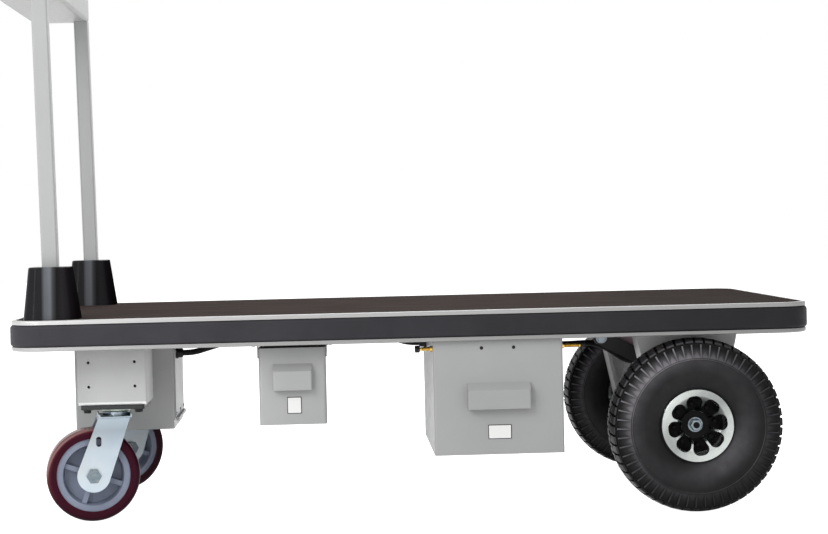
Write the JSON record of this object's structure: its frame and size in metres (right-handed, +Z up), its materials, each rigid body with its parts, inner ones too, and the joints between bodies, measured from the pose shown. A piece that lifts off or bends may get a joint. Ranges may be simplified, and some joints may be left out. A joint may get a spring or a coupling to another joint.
{
  "type": "electric platform cart",
  "caption": "Flat platform cart with a powered rear axle, swivel casters in front, boxes under the deck and a fixed console handle.",
  "frame": {"origin": "on the floor below the middle of the whole cart's outline", "axes": "+X from the handle towards the powered wheels, +Y to the operator's left, +Z up"},
  "size_m": [1.383, 0.6872, 0.9865],
  "materials": {
    "mat": "anti-slip sheet",
    "board": "dark painted underside",
    "trim": "satin extrusion",
    "bumper": "smooth strip",
    "frame": "satin paint",
    "grey_paint": "powder coat",
    "sleeve": "glossy moulding",
    "fascia": "fine texture",
    "bar": "plated",
    "grip": "ribbed",
    "control": "moulded",
    "gauge": "window",
    "stop_red": "moulded",
    "zinc": "bright zinc",
    "core": "moulded nylon",
    "tread": "polyurethane",
    "tyre": "rubber",
    "rim": "polished",
    "hub": "black paint",
    "axle": "machined and painted",
    "motor": "black paint",
    "bracket": "powder coat",
    "battery": "moulded case",
    "cable": "sheath"
  },
  "bodies": {
    "chassis": {"deck_board": "board", "deck_mat": "mat", "edge_trim": "trim", "edge_bumper": "bumper", "frame_rails": "frame", "frame_crossmembers": "frame", "sleeve_right": "sleeve", "sleeve_left": "sleeve", "upright_right": "grey_paint", "upright_left": "grey_paint", "console_housing": "grey_paint", "console_fascia": "fascia", "handlebar": "bar", "handlebar_grips": "grip", "throttle": "control", "key_switch": "zinc", "battery_gauge": "gauge", "stop_button": "stop_red", "direction_switch": "control", "caster_boxes": "grey_paint", "caster_plates": "zinc", "controller_box": "grey_paint", "controller_lid": "grey_paint", "charger_box": "grey_paint", "charger_hood": "grey_paint", "battery_box": "grey_paint", "battery_hood": "grey_paint", "battery_block": "battery", "axle_hanger_right": "grey_paint", "axle_hanger_left": "grey_paint", "axle_housing": "axle", "drive_motor": "motor", "motor_bracket": "bracket", "cable_loom": "cable"},
    "caster_right": {"caster_fork_right": "zinc", "caster_axle_right": "zinc"},
    "caster_left": {"caster_fork_left": "zinc", "caster_axle_left": "zinc"},
    "caster_wheel_right": {"caster_core_right": "core", "caster_tread_right": "tread"},
    "caster_wheel_left": {"caster_core_left": "core", "caster_tread_left": "tread"},
    "drive_wheel_right": {"drive_hub_right": "hub", "drive_rim_right": "rim", "drive_tyre_right": "tyre"},
    "drive_wheel_left": {"drive_hub_left": "hub", "drive_rim_left": "rim", "drive_tyre_left": "tyre"}
  },
  "joints": [
    {"name": "swivel_right", "type": "hinge", "parent": "chassis", "child": "caster_right", "pos_m": [-0.42796, -0.202, 0.1757], "axis": [0, 0, 1], "continuous": true},
    {"name": "caster_roll_right", "type": "hinge", "parent": "caster_right", "child": "caster_wheel_right", "pos_m": [-0.46747, -0.20826, 0.075], "axis": [-0.1564, 0.9877, 0], "continuous": true},
    {"name": "swivel_left", "type": "hinge", "parent": "chassis", "child": "caster_left", "pos_m": [-0.42796, 0.202, 0.1757], "axis": [0, 0, 1], "continuous": true},
    {"name": "caster_roll_left", "type": "hinge", "parent": "caster_left", "child": "caster_wheel_left", "pos_m": [-0.46151, 0.18021, 0.075], "axis": [-0.5446, 0.8387, 0], "continuous": true},
    {"name": "drive_roll_right", "type": "hinge", "parent": "chassis", "child": "drive_wheel_right", "pos_m": [0.50054, -0.3, 0.1385], "axis": [0, 1, 0], "continuous": true},
    {"name": "drive_roll_left", "type": "hinge", "parent": "chassis", "child": "drive_wheel_left", "pos_m": [0.50054, 0.3, 0.1385], "axis": [0, 1, 0], "continuous": true}
  ]
}
